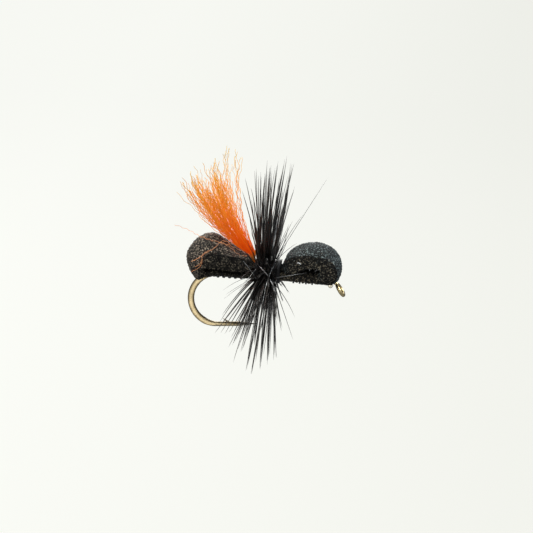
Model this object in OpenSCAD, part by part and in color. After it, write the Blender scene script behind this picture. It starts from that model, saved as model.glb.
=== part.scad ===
// Foam ant dry fly on a light-wire, down-eye hook. Millimetres, +Z up.
// The origin is the centre of the hook's eye, +X runs along the shank towards the eye,
// and the hook lies in the XZ plane.

/* [Hook] */
// Diameter of the hook wire
wire_d = 0.45; // [0.43:0.01:0.46]
// Diameter of the thinner wire that forms the eye
eye_wire_d = 0.35; // [0.32:0.01:0.37]
// Radius of the hole through the eye
eye_hole_r = 0.40; // [0.36:0.01:0.42]
// Angle of the eye below the line of the shank
eye_tilt = 55; // [52:1:57]
// Distance from the eye's centre back to the start of the bend
bend_start = 11.7; // [11.6:0.05:11.8]
// Radius of the bend, at the middle of the wire
bend_r = 2.5; // [2.4:0.05:2.55]
// Thickness of the bend where it is forged flat
forged_t = 0.36; // [0.34:0.01:0.40]
// Width of the bend where it is forged flat
forged_w = 0.62; // [0.56:0.01:0.64]
// Length of the spear, from the bend to the tip of the point
spear_l = 3.8; // [3.4:0.1:4.2]

/* [Foam] */
// Grooves that the lashing thread presses into the abdomen's lower leaf
abdomen_turns = 6; // [4:1:6]
// Grooves that the lashing thread presses into the head's lower leaf
head_turns = 5; // [3:1:5]
// Depth of a groove, as a share of the leaf's half width
groove = 0.12; // [0.08:0.01:0.16]

/* [Thread] */
// Diameter of the tying thread
thread_d = 0.12; // [0.10:0.01:0.12]
// Length of the thread wraps at the waist
waist_l = 2.5; // [2.4:0.05:2.6]
// Outer diameter of the thread wraps at the waist
waist_d = 2.1; // [2.08:0.01:2.15]

/* [Hackle] */
// Diameter of the feather's quill
quill_d = 0.26; // [0.22:0.01:0.28]
// Turns of the quill around the waist
quill_turns = 5; // [3:1:5]
// Barbs on each turn
barbs_per_turn = 24; // [12:1:26]
// Length of the longest barb
barb_l = 9.2; // [7:0.1:10]
// Thickness of a barb at its root
barb_d = 0.10; // [0.07:0.01:0.11]

/* [Wing] */
// Length of the longest yarn fibre
wing_l = 10.6; // [9:0.1:11]
// Thickness of a yarn fibre
fibre_d = 0.05; // [0.04:0.005:0.055]
// Height of the yarn's crimp
crimp_h = 0.07; // [0:0.01:0.09]

/* [Hidden] */
$fn = 48;

ring_r = eye_hole_r + eye_wire_d / 2;      // from the eye's centre to the middle of its wire
neck_r = 0.55;                             // how sharply the wire turns down to the eye
shank_z = ring_r * sin(eye_tilt) + neck_r * (1 - cos(eye_tilt));
shank_front = -ring_r * cos(eye_tilt) - neck_r * sin(eye_tilt);
slack = 0.01;                              // the space left between pieces that lie together
base_r = wire_d / 2 + 0.045;               // outside of the thread base on the shank
channel_r = base_r + slack;                // the space the foam leaves for the shank
under_z = shank_z - base_r - thread_d / 2 - slack; // a lashing turn where it passes below the shank
waist_x = -7.0;                            // middle of the waist
bundle_r = waist_d / 2 - 0.12;             // inside of the waist's wraps
waist_z = shank_z - base_r + bundle_r - slack;     // the wraps hang on the shank, not round its axis
pinched_w = 0.70;                          // half width of a leaf under the waist's wraps
parting = 0.05;                            // from the waist's middle to the end of either strip
quill_r = waist_d / 2 + quill_d / 2 + slack;
quill_back = waist_x - waist_l / 2 + quill_d / 2 + 0.05;
whip_wraps = 3;
quill_front = waist_x + waist_l / 2 - whip_wraps * thread_d - quill_d / 2 - 0.04;
root_back = [-8.78, 0, shank_z + 2.06];    // the rear and the front end of the row of fibre roots
root_front = [-8.30, 0, shank_z + 2.36];
barb_count = quill_turns * barbs_per_turn + 2;  // so that the turns' barbs interleave
leaf_bottom = shank_z - 0.13;              // the lashed leaves saddle the shank down to here

// One upper leaf and fold of foam, from the waist round to the lashed leaf. Each station gives
// the outer face (x, z), the inner face (x, z), the half width, and how far each face falls
// away at its edges, heights being above the shank's centreline.
ABDOMEN = [[-8.28, 1.34, -8.28, 0.96, 0.72, 0.30, 0.00],
           [-8.75, 1.86, -8.70, 1.02, 1.45, 0.10, 0.20],
           [-9.60, 2.30, -9.50, 1.24, 1.95, 0.10, 0.40],
           [-10.5, 2.80, -10.3, 1.44, 2.08, 0.50, 0.65],
           [-11.3, 3.42, -11.1, 1.72, 2.10, 1.05, 0.90],
           [-12.3, 3.90, -12.0, 2.10, 2.10, 1.45, 1.25],
           [-13.3, 3.70, -12.7, 2.00, 2.10, 1.60, 1.15],
           [-14.3, 2.85, -13.0, 1.45, 2.10, 1.70, 0.75],
           [-14.8, 1.65, -13.15, 0.95, 2.08, 1.50, 0.25],
           [-14.5, 0.35, -13.0, 0.70, 2.00, 1.20, 0.10],
           [-13.7, -0.65, -12.75, 0.62, 1.85, 0.65, -0.15],
           [-12.9, -0.38, -12.45, 0.90, 1.65, 0.50, -0.40]];
HEAD = [[-5.72, 1.34, -5.72, 0.96, 0.72, 0.30, 0.00],
        [-5.20, 2.35, -5.10, 1.06, 1.65, 0.20, 0.15],
        [-4.50, 3.02, -4.30, 1.35, 2.00, 0.35, 0.25],
        [-3.60, 3.50, -3.45, 1.75, 2.10, 0.60, 0.40],
        [-2.40, 3.70, -2.50, 1.95, 2.10, 0.85, 0.50],
        [-1.20, 3.36, -2.05, 1.95, 2.10, 0.70, 0.35],
        [-0.35, 2.55, -1.85, 1.72, 2.08, 0.40, 0.20],
        [0.00, 1.55, -1.78, 1.45, 2.05, 0.30, 0.15],
        [-0.12, 0.60, -1.85, 1.22, 2.00, 0.25, 0.10],
        [-0.65, -0.05, -2.00, 1.12, 1.90, 0.40, -0.05]];
// The lashed leaves: x where the lashing starts at the fold, and where it ends near the waist,
// the half width and the top of the leaf at both ends, then how far the thread draws up the
// edges of its bottom and draws down those of its top.
ABDOMEN_LEAF = [-12.2, -8.9, 1.52, 1.15, 1.15, 0.84, 0.30, 0.55];
HEAD_LEAF = [-2.10, -5.10, 1.78, 1.20, 1.14, 0.90, 0.38, 0.15];
FOAM_SIDES = 20;
BOXY = 0.62;                               // 1 makes an oval section, less squares it off

function mix(a, b, t) = a + (b - a) * t;
function unit(v) = v / norm(v);
function wave(i) = sin(i * 137.5);         // an even scatter between -1 and 1
function power(v, p) = sign(v) * pow(abs(v), p);

// A smooth curve through the points p, with n steps between two of them.
function between(a, b, c, d, t) =
    (2 * b + (c - a) * t + (2 * a - 5 * b + 4 * c - d) * t * t
     + (3 * b - a - 3 * c + d) * t * t * t) / 2;
function smooth(p, n) = concat(
    [for (i = [0:len(p) - 2], k = [0:n - 1])
        between(p[max(i - 1, 0)], p[i], p[i + 1], p[min(i + 2, len(p) - 1)], k / n)],
    [p[len(p) - 1]]);

// Joins rings of points, each running anticlockwise about the way forward, into a closed skin.
module skin(rings) {
    s = len(rings[0]);
    n = len(rings);
    polyhedron(
        points = [for (r = rings) each r],
        faces = concat(
            [for (i = [0:n - 2], j = [0:s - 1]) let (a = i * s + j, b = i * s + (j + 1) % s)
                each [[a, a + s, b + s], [a, b + s, b]]],
            [[for (j = [0:s - 1]) j]],
            [[for (j = [s - 1:-1:0]) (n - 1) * s + j]]));
}

// A round strand along path, of the radius that radii gives at each point. side is a
// direction that the path never takes.
function strand(path, radii, side, sides) = [for (i = [0:len(path) - 1])
    let (t = unit(path[min(i + 1, len(path) - 1)] - path[max(i - 1, 0)]),
         u = unit(cross(side, t)), v = cross(t, u))
    [for (j = [0:sides - 1])
        path[i] + radii[i] * (cos(j * 360 / sides) * u + sin(j * 360 / sides) * v)]];

// A strand of radius r wound about the X axis, on the points of path.
function wound(path, r, centre_z, sides) = [for (i = [0:len(path) - 1])
    let (t = unit(path[min(i + 1, len(path) - 1)] - path[max(i - 1, 0)]),
         out = path[i] - [path[i][0], 0, centre_z],
         u = unit(out - (out * t) * t), v = cross(t, u))
    [for (j = [0:sides - 1])
        path[i] + r * (cos(j * 360 / sides) * u + sin(j * 360 / sides) * v)]];

// ---- hook ----

// The section of the wire, flattened to half thickness t and half width w.
module wire_section(t, w) {
    intersection() {
        circle(r = w);
        square([3 * w, 2 * t], center = true);
    }
}

// A piece of the bend from angle a, turning by d, with the given section.
module bend_piece(a, d, t, w) {
    translate([-bend_start, 0, shank_z - bend_r])
        rotate([90, 0, 0])
            rotate([0, 0, a])
                rotate_extrude(angle = d) translate([bend_r, 0]) wire_section(t, w);
}

// The wire is round up to the foam's fold, flat below it, and round again at the spear.
module bend() {
    steps = 5;
    top = 10;                              // degrees that a step of the flattening takes above
    foot = 5;                              // and below
    lap = 0.4;                             // degrees that a step runs into its neighbours
    for (k = [0:steps - 1]) {
        f = (k + 0.5) / steps;
        t = mix(wire_d, forged_t, f) / 2;
        w = mix(wire_d, forged_w, f) / 2;
        bend_piece(90 + k * top - lap, top + 2 * lap, t, w);
        bend_piece(270 - (k + 1) * foot - lap, foot + 2 * lap, t, w);
    }
    bend_piece(90 + steps * top, 180 - steps * (top + foot), forged_t / 2, forged_w / 2);
}

// The spear, its barb and the needle point, along +X from the end of the bend.
module spear() {
    needle = 1.5;
    barb_x = 0.75;
    rise = 4.7;
    translate([-bend_start, 0, shank_z - 2 * bend_r])
        rotate([0, -rise, 0]) {
            rotate([0, 90, 0]) rotate_extrude() polygon([[0, -0.05], [wire_d / 2, -0.05],
                [wire_d / 2, spear_l - needle], [0.02, spear_l], [0, spear_l]]);
            // the barb, cut up from the wire and pointing back at the bend
            translate([barb_x, 0.12, 0]) rotate([90, 0, 0]) linear_extrude(0.24)
                polygon([[0, 0.52], [0.75, 0.12], [0.85, 0.05], [0.50, 0.05]]);
        }
}

// The neck turns down from the shank, and the ring closes on it with a fine seam.
module eye() {
    seam = 8;
    translate([shank_front, 0, shank_z - neck_r]) rotate([90, 0, 0])
        rotate([0, 0, 90 - eye_tilt - 6]) rotate_extrude(angle = eye_tilt + 8)
            translate([neck_r, 0]) circle(d = eye_wire_d);
    rotate([0, eye_tilt, 0]) rotate([0, 0, 180 - seam / 4])
        rotate_extrude(angle = 360 - seam) {
            translate([ring_r, 0]) circle(d = eye_wire_d);
            translate([eye_hole_r, -0.08]) square([eye_wire_d / 4, 0.16]);
        }
}

module hook() {
    color("darkgoldenrod") {
        translate([shank_front, 0, shank_z]) rotate([0, -90, 0]) rotate_extrude()
            polygon([[0, 0], [eye_wire_d / 2, 0], [wire_d / 2, 0.5],
                [wire_d / 2, bend_start + shank_front], [0, bend_start + shank_front]]);
        eye();
        bend();
        spear();
    }
}

// ---- thread base ----

// The layer of thread wound along the bare shank before the foam goes on.
module shank_thread() {
    length = bend_start - 0.95;
    color("dimgray") translate([0.05 - bend_start, 0, shank_z]) rotate([0, 90, 0]) difference() {
        cylinder(h = length, r = base_r);
        translate([0, 0, -1]) cylinder(h = length + 2, d = wire_d + slack);
    }
}

// ---- foam ----

// How deep the lashing presses at x on a leaf, and at the angle a about the leaf.
function turn_angle(leaf, turns, x) = 360 * turns * (x - leaf[0]) / (leaf[1] - leaf[0]) - 90;
function fade(leaf, x) = let (t = (x - leaf[0]) / (leaf[1] - leaf[0])) min(1, 12 * t, 12 * (1 - t));
function pressed(leaf, turns, x, a) =
    groove * fade(leaf, x) * pow((1 + cos(a - turn_angle(leaf, turns, x))) / 2, 2);

function leaf_w(leaf, x) = mix(leaf[2], leaf[3], (x - leaf[0]) / (leaf[1] - leaf[0]));
function leaf_top(leaf, x) =
    shank_z + mix(leaf[4], leaf[5], (x - leaf[0]) / (leaf[1] - leaf[0]));
function drawn(leaf, y, v) = y * y * ((1 - v) * leaf[6] - (1 + v) * leaf[7]) / 2;

// One section of the strip: a rounded bar between its outer and inner face.
function foam_ring(s, leaf, turns) =
    let (o = [s[0], 0, shank_z + s[1]], i = [s[2], 0, shank_z + s[3]],
         c = (o + i) / 2, h = norm(o - i) / 2, d = unit(o - i), way = sign(leaf[1] - leaf[0]),
         lashed = s[1] < 0 && (s[0] - leaf[0]) * (s[0] - leaf[1]) <= 0)
    [for (j = [0:FOAM_SIDES - 1])
        let (a = (j + 0.5) * 360 / FOAM_SIDES, y = power(cos(a), BOXY), v = power(sin(a), BOXY),
             press = 1 - (lashed ? pressed(leaf, turns, s[0], way > 0 ? a + 180 : -a) : 0),
             sag = (s[5] * (1 + v) + s[6] * (1 - v)) / 2 * y * y)
        c + press * ([0, -way * s[4] * y, 0] + (h * v - sag) * d)];

// The lashed leaf from the fold to the waist, and on to its end under the waist's wraps.
function leaf_stations(leaf, turns) =
    let (n = turns * 6, dir = sign(leaf[1] - leaf[0]), pinched_top = 0.86)
    concat(
        [for (k = [0:n]) let (x = mix(leaf[0], leaf[1], k / n))
            [x, leaf_bottom - shank_z, x, leaf_top(leaf, x) - shank_z, leaf_w(leaf, x),
             leaf[6], -leaf[7]]],
        [for (x = [waist_x - (waist_l / 2 - 0.10) * dir, waist_x - parting * dir])
            [x, leaf_bottom - shank_z, x, pinched_top, pinched_w, 0.15, -0.10]]);

// The whole strip: from the waist along the upper leaf, round the fold and back to the waist.
module folded_strip(upper, leaf, turns) {
    end_x = waist_x - parting * sign(leaf[1] - leaf[0]);
    first = [end_x, upper[0][1], end_x, upper[0][3], pinched_w, upper[0][5], upper[0][6]];
    lashed = leaf_stations(leaf, turns);
    fold = smooth(concat(upper, [lashed[0]]), 3);
    stations = concat([first], [for (i = [0:len(fold) - 2]) fold[i]], lashed);
    skin([for (s = stations) foam_ring(s, leaf, turns)]);
}

// The way that the hook takes through the foam: round along the shank and the bend, and
// open below where the neck turns down.
module shank_channel() {
    neck_end = -0.30;
    slot_w = 0.48;
    translate([-bend_start, 0, shank_z]) rotate([0, 90, 0])
        cylinder(h = bend_start + neck_end, r = channel_r);
    translate([shank_front - 0.10, -slot_w / 2, -1])
        cube([1, slot_w, shank_z - 0.05 + 1]);
    translate([-bend_start, 0, shank_z - bend_r]) rotate([90, 0, 0]) rotate([0, 0, 90])
        rotate_extrude(angle = 80) translate([bend_r, 0]) circle(r = forged_w / 2 + 0.02);
}

module abdomen_foam() {
    color("#26272a") difference() {
        folded_strip(ABDOMEN, ABDOMEN_LEAF, abdomen_turns);
        shank_channel();
    }
}

module head_foam() {
    color("#303338") difference() {
        folded_strip(HEAD, HEAD_LEAF, head_turns);
        shank_channel();
    }
}

// ---- lashings ----

// One thread, wound along a leaf in its grooves and passing below the shank.
module lashing(leaf, turns) {
    per_turn = 20;
    gap = thread_d / 2 + 0.06;             // from the foam to the middle of the thread
    path = [for (k = [per_turn / 2:(turns - 0.5) * per_turn])
        let (f = k / (turns * per_turn), x = mix(leaf[0], leaf[1], f),
             a = turn_angle(leaf, turns, x),
             y = power(cos(a), BOXY), v = power(sin(a), BOXY),
             top = leaf_top(leaf, x), mid = (top + leaf_bottom) / 2,
             up = (top - mid) * (1 - groove) + gap, down = mid - under_z)
        [x, (leaf_w(leaf, x) * (1 - groove) + gap) * y,
         mid + v * (v > 0 ? up : down) + drawn(leaf, y, v)]];
    turned = leaf[1] > leaf[0] ? path : [for (i = [len(path) - 1:-1:0]) path[i]];
    skin(wound(turned, thread_d / 2, shank_z, 5));
}

module abdomen_lashing() {
    color("black") lashing(ABDOMEN_LEAF, abdomen_turns);
}

module head_lashing() {
    color("black") lashing(HEAD_LEAF, head_turns);
}

// ---- waist ----

// Places its children with their Z axis along the waist, at x.
module at_waist(x) {
    translate([x, 0, waist_z]) rotate([0, 90, 0]) children();
}

// The wraps of thread that close the waist, side by side on the layers below them.
module waist_thread() {
    turns = floor(waist_l / thread_d);
    pitch = waist_l / turns;
    color("#101010") at_waist(waist_x - waist_l / 2) rotate_extrude() {
        translate([bundle_r, 0]) square([waist_d / 2 - bundle_r - thread_d / 4, waist_l]);
        for (k = [0:turns - 1])
            translate([waist_d / 2 - pitch / 2 - slack / 2, (k + 0.5) * pitch])
                circle(d = pitch, $fn = 16);
    }
}

// The yarn's butt, bound flat on top of the foam, and the packed root that opens out of it.
module wing_butt() {
    half = 0.20;                           // half width of the flat butt, without its round edges
    r = 0.075;
    length = 1.1;
    root_w = 0.60;
    lip = 0.02;
    z = shank_z + ABDOMEN[0][1] + r + 0.03;
    back = waist_x - waist_l / 2 - lip;
    color("orangered") {
        translate([back, 0, z]) rotate([90, 0, 90]) linear_extrude(length) {
            square([2 * half, 2 * r], center = true);
            for (s = [-1, 1]) translate([s * half, 0]) circle(r = r);
        }
        hull() {
            translate([back - lip / 2, -half - r, z - r + 0.05])
                cube([lip, 2 * (half + r), 2 * r - 0.05]);
            for (end = [root_back, root_front])
                translate(end - [lip / 2, root_w / 2, 0.03]) cube([lip, root_w, lip]);
        }
    }
}

// The feather's quill, wound along the waist.
module quill() {
    per_turn = 20;
    steps = quill_turns * per_turn;
    path = [for (k = [0:steps]) let (a = 360 * k / per_turn)
        [mix(quill_back, quill_front, k / steps), quill_r * cos(a), waist_z + quill_r * sin(a)]];
    color("#1a1512") skin(wound(path, quill_d / 2, waist_z, 6));
}

// The last wraps, which lock the thread in front of the hackle.
module whip_finish() {
    color("#181818")
        for (k = [0:whip_wraps - 1])
            at_waist(waist_x + waist_l / 2 - (k + 0.55) * thread_d * 1.02)
                rotate_extrude() translate([waist_d / 2 + thread_d / 2 + slack, 0])
                    circle(d = thread_d);
}

// The drop of cement on the underside of the thread base, behind the eye.
module cement_drop() {
    drop_x = -1.25;
    drop_r = 0.17;
    color("wheat") difference() {
        translate([drop_x, 0, shank_z - base_r - 0.02]) sphere(r = drop_r);
        translate([drop_x - 1, 0, shank_z]) rotate([0, 90, 0])
            cylinder(h = 2, r = base_r + slack / 2);
    }
}

// ---- hackle ----

// A barb springs straight out from the quill, bows a little, and comes to a fine point.
module barb(k) {
    f = (k + 0.5) / barb_count;
    a = 360 * quill_turns * f;
    root = [mix(quill_back, quill_front, f), 0, waist_z];
    out = [0, cos(a), sin(a)];
    round_way = [0, -sin(a), cos(a)];
    lean = mix(-1.3, 1.9, f) + 0.18 * wave(k + 3); // how far the tip stands along the shank
    bow = 0.35 * wave(k);
    long = barb_l * (0.94 + 0.06 * wave(2 * k + 5));
    path = [for (u = [0, 0.3, 0.65, 1])
        root + out * (quill_r + quill_d / 2 + 2 * slack + long * u)
        + [lean * pow(u, 1.2), 0, 0] + round_way * bow * u * u];
    skin(strand(path, barb_d / 2 * [1, 0.85, 0.6, 0.15], round_way, 4));
}

module hackle_barbs() {
    color("#0c0d10") for (k = [0:barb_count - 1]) barb(k);
}

// ---- wing ----

// A fibre of the wing: across counts from the rear fibre to the front one, and deep from the
// near side to the far one, both from 0 to 1.
module fibre(across, deep, k) {
    steps = 9;
    wavelength = 2.4;
    lean = mix(52, 15, across);            // degrees back from upright
    tip = 15 * (deep - 0.5);               // degrees towards the far side
    root = mix(root_back, root_front, across) + [0, 0.50 * (deep - 0.5), 0];
    way = [-sin(lean), sin(tip), cos(lean)];
    back = [-cos(lean), 0, -sin(lean)];
    long = wing_l * (0.80 + 0.12 * wave(k) + 0.08 * sin(180 * across));
    path = [for (i = [0:steps]) let (u = i / steps, s = long * u)
        root + way * s * (1 + 0.02 * u)
        + back * crimp_h * u * sin(360 * s / wavelength + 40 * across)
        + [0, crimp_h * u * cos(360 * s / wavelength + 70 * deep), 0]];
    skin(strand(path, [for (i = [0:steps]) fibre_d / 2 * (1 - 0.5 * i / steps)], [0, 1, 0], 4));
}

module wing_fibres() {
    columns = 8;
    rows = 6;
    color("#f07a28") for (c = [0:columns - 1], r = [0:rows - 1])
        fibre((c + 0.5 * (r % 2)) / columns, r / (rows - 1), c * rows + r);
}

hook();
shank_thread();
abdomen_foam();
head_foam();
abdomen_lashing();
head_lashing();
wing_butt();
wing_fibres();
waist_thread();
quill();
hackle_barbs();
whip_finish();
cement_drop();
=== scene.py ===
import math
import random
from collections import namedtuple

import bpy
import numpy as np
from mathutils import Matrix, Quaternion, Vector, noise


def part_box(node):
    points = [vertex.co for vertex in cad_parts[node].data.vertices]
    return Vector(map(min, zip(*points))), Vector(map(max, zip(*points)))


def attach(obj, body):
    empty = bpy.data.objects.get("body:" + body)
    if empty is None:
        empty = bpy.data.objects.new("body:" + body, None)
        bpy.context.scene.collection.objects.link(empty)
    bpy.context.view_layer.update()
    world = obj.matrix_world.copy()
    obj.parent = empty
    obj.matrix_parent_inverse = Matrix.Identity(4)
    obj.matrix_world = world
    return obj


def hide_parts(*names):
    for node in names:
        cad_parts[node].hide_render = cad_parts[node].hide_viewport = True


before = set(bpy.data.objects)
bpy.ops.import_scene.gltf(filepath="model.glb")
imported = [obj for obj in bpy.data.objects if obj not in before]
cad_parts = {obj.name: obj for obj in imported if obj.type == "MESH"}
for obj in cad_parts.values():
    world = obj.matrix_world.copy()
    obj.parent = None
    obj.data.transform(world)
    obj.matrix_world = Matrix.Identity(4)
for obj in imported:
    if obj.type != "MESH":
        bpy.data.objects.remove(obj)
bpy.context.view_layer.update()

# Pieces are worked out in millimetres, in the frame of the CAD model, and made in metres.
MM = 0.001
X, Y, Z = np.eye(3)
# Each strand has an "own" value from 0 to 1, which sets its tone, or this one where it differs
# from all the rest: a barb painted pale as a highlight, or a fibre that has strayed.
APART = 2


def mm_box(node):
    lo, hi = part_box(node)
    return np.array(lo) / MM, np.array(hi) / MM


# ---- camera ----

VIEW_AZIMUTH, VIEW_ELEVATION, VIEW_ROLL = (math.radians(a) for a in (4.5, 15, 3.2))
VIEW_DISTANCE = 0.25
VIEW_WIDTH = 0.0506  # what the picture takes in at LOOK_AT
LOOK_AT = Vector((-7.14, 0, 1.74)) * MM

camera_data = bpy.data.cameras.new("camera")
camera = bpy.data.objects.new("camera", camera_data)
bpy.context.scene.collection.objects.link(camera)
bpy.context.scene.camera = camera
back = Vector((math.sin(VIEW_AZIMUTH) * math.cos(VIEW_ELEVATION),
               -math.cos(VIEW_AZIMUTH) * math.cos(VIEW_ELEVATION),
               math.sin(VIEW_ELEVATION)))
camera.location = LOOK_AT + back * VIEW_DISTANCE
camera.rotation_mode = "QUATERNION"
camera.rotation_quaternion = (-back).to_track_quat("-Z", "Y") @ Quaternion((0, 0, 1), VIEW_ROLL)
camera_data.lens = camera_data.sensor_width * VIEW_DISTANCE / VIEW_WIDTH
camera_data.clip_start, camera_data.clip_end = 0.01, 10


# ---- materials ----

class Paint:
    """A material, and short ways to put nodes in it."""

    def __init__(self, name):
        self.material = bpy.data.materials.new(name)
        self.material.use_nodes = True
        self.tree = self.material.node_tree
        self.shader = next(n for n in self.tree.nodes if n.type == "BSDF_PRINCIPLED")
        self.output = next(n for n in self.tree.nodes if n.type == "OUTPUT_MATERIAL")
        place = self.node("ShaderNodeVectorMath", operation="SCALE")
        self.join(self.node("ShaderNodeTexCoord").outputs["Object"], place.inputs[0])
        place.inputs["Scale"].default_value = 1 / MM
        self.place = place.outputs[0]  # in millimetres

    def node(self, kind, **settings):
        made = self.tree.nodes.new(kind)
        for key, value in settings.items():
            setattr(made, key, value)
        return made

    def join(self, output, socket):
        self.tree.links.new(output, socket)

    def put(self, socket, value):
        if isinstance(value, bpy.types.NodeSocket):
            self.join(value, socket)
        else:
            socket.default_value = value

    def math(self, operation, a, b=0.5, c=0.5, clamp=False):
        n = self.node("ShaderNodeMath", operation=operation, use_clamp=clamp)
        for socket, value in zip(n.inputs, (a, b, c)):
            self.put(socket, value)
        return n.outputs[0]

    def noise(self, scale, detail=3.0, rough=0.55):
        n = self.node("ShaderNodeTexNoise")
        self.join(self.place, n.inputs["Vector"])
        for key, value in (("Scale", scale), ("Detail", detail), ("Roughness", rough)):
            n.inputs[key].default_value = value
        return n.outputs["Fac"]

    def cell_walls(self, scale):
        """How far a place is from the nearest wall between cells."""
        n = self.node("ShaderNodeTexVoronoi", feature="DISTANCE_TO_EDGE")
        self.join(self.place, n.inputs["Vector"])
        n.inputs["Scale"].default_value = scale
        return n.outputs["Distance"]

    def ramp(self, value, *stops):
        n = self.node("ShaderNodeValToRGB")
        self.join(value, n.inputs["Fac"])
        band = n.color_ramp
        while len(band.elements) < len(stops):
            band.elements.new(0.5)
        for element, (at, colour) in zip(band.elements, stops):
            element.position = at
            element.color = (*colour, 1) if isinstance(colour, tuple) else (colour,) * 3 + (1,)
        return n.outputs["Color"]

    def blend(self, share, a, b):
        n = self.node("ShaderNodeMix", data_type="RGBA")
        self.put(n.inputs["Factor"], share)
        for socket, value in ((n.inputs[6], a), (n.inputs[7], b)):
            self.put(socket, (*value, 1) if isinstance(value, tuple) else value)
        return n.outputs[2]

    def attribute(self, name):
        return self.node("ShaderNodeAttribute", attribute_name=name).outputs["Fac"]

    def bump(self, height, depth_mm, strength):
        n = self.node("ShaderNodeBump")
        n.inputs["Strength"].default_value = strength
        n.inputs["Distance"].default_value = depth_mm * MM
        self.join(height, n.inputs["Height"])
        return n.outputs["Normal"]

    def surface(self, colour, rough, normal=None, **values):
        for key, value in (("Base Color", colour), ("Roughness", rough), ("Normal", normal)):
            if value is not None:
                self.put(self.shader.inputs[key], value)
        for key, value in values.items():
            self.shader.inputs[key.replace("_", " ")].default_value = value
        return self.material


def foam_paint(name, dark, lit_skin_tone, cut):
    """Closed-cell foam, dark with paler flecks; lit_skin_tone tells of its faces, cut of its sides, and
    their casts are partly painted light.
    """
    p = Paint(name)
    wall = p.cell_walls(3.9)
    # painted highlight: the lips of the cell walls are paler, where they catch the light
    lip = p.ramp(wall, (0.0, 1.0), (0.12, 0.30), (0.30, 0.0))
    fine = p.noise(6.3, 1.5, 0.7)
    # the pale flecks are partly the foam's grain and partly painted glints where the cell walls catch the
    # light
    specks = p.ramp(fine, (0.56, 0.0), (0.60, 1.0))
    mottle = p.noise(1.3, 3.0)
    share = p.math("MULTIPLY_ADD", specks, 0.90, p.math("MULTIPLY", lip, 0.10), clamp=True)
    share = p.math("MULTIPLY", share, p.math("MULTIPLY_ADD", mottle, 1.3, 0.15), clamp=True)
    # painted light: the way the surface faces sets the flecks' tone, lit_skin_tone on the faces and cut on
    # the sides
    facing = p.node("ShaderNodeSeparateXYZ")
    p.join(p.node("ShaderNodeNewGeometry").outputs["True Normal"], facing.inputs[0])
    side = p.ramp(p.math("ABSOLUTE", facing.outputs["Y"]), (0.74, 0.0), (0.90, 1.0))
    # painted light: the lashed lower leaf takes the sides' fleck tone, as it looks in its shade
    side = p.math("MAXIMUM", side, p.attribute("lashed"))
    # painted shade: fewer flecks along the top of the sides, under the edge of the outer face
    share = p.math("MULTIPLY", share, p.math("MULTIPLY_ADD", p.attribute("rim"), -0.75, 1.0))
    # painted light: the lashed lower leaf gets more flecks, which lift it where the upper leaf shades it
    share = p.math("MULTIPLY", share, p.math("MULTIPLY_ADD", p.attribute("lashed"), 1.5, 1.0),
                   clamp=True)
    height = p.math("ADD", p.math("MULTIPLY", wall, 1.2), p.math("MULTIPLY", fine, 0.8))
    return p.surface(
        p.blend(share, dark, p.blend(side, lit_skin_tone, cut)),
        p.math("MULTIPLY_ADD", fine, -0.25, 0.86),
        p.bump(height, 0.08, 0.9),
        Sheen_Weight=0.03,
        Specular_IOR_Level=0.22)


def thread_paint(name, colour, edge):
    """Flat multi-strand tying thread, with a waxy shine."""
    p = Paint(name)
    strands = p.noise(26.0, 2.0, 0.6)
    worn = p.noise(2.2)
    return p.surface(
        p.blend(p.math("MULTIPLY", strands, worn), colour, edge),
        p.math("MULTIPLY_ADD", strands, 0.35, 0.30),
        p.bump(strands, 0.012, 0.7))


# the fleck tones of faces and sides are partly painted light, with a cool cast of sky light on the head's
# faces
foam_dark = foam_paint("foam_abdomen", (0.004, 0.0037, 0.0033), (0.370, 0.305, 0.235),
                       (0.220, 0.198, 0.150))
foam_sky_lit = foam_paint("foam_head", (0.004, 0.0045, 0.005), (0.195, 0.245, 0.240),
                       (0.440, 0.380, 0.275))
black_thread = thread_paint("black_thread", (0.006, 0.006, 0.007), (0.05, 0.05, 0.055))
base_thread = thread_paint("base_thread", (0.012, 0.012, 0.012), (0.10, 0.095, 0.085))


def hackle_paint():
    """Glossy black barbs, some with a brown cast, which thin out to smoky tips."""
    p = Paint("hackle")
    own = p.attribute("own")
    along = p.attribute("along")
    body = p.ramp(own, (0.0, (0.003, 0.003, 0.003)), (0.6, (0.005, 0.0048, 0.0042)),
                  (0.85, (0.018, 0.011, 0.008)), (1.0, (0.034, 0.022, 0.015)))
    tip = p.blend(p.ramp(along, (0.35, 0.0), (1.0, 1.0)), body, (0.060, 0.054, 0.048))
    # painted highlight: a few barbs are pale along their length, where they catch the light
    tip = p.blend(p.math("GREATER_THAN", own, APART - 0.5), tip,
                  p.blend(along, (0.55, 0.55, 0.55), (0.95, 0.96, 0.95)))
    nodes = p.noise(9.0, 2.0)
    return p.surface(
        tip,
        p.math("MULTIPLY_ADD", nodes, 0.30, 0.16),
        p.bump(p.noise(18.0, 2.0), 0.006, 0.5),
        Coat_Weight=0.28,
        Coat_Roughness=0.15,
        Specular_IOR_Level=0.45)


def quill_paint():
    p = Paint("quill")
    streak = p.noise(12.0, 3.0)
    return p.surface(
        p.blend(streak, (0.010, 0.008, 0.007), (0.060, 0.042, 0.030)),
        p.math("MULTIPLY_ADD", streak, 0.3, 0.25),
        p.bump(streak, 0.015, 0.6),
        Coat_Weight=0.2,
        Coat_Roughness=0.3)


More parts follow.
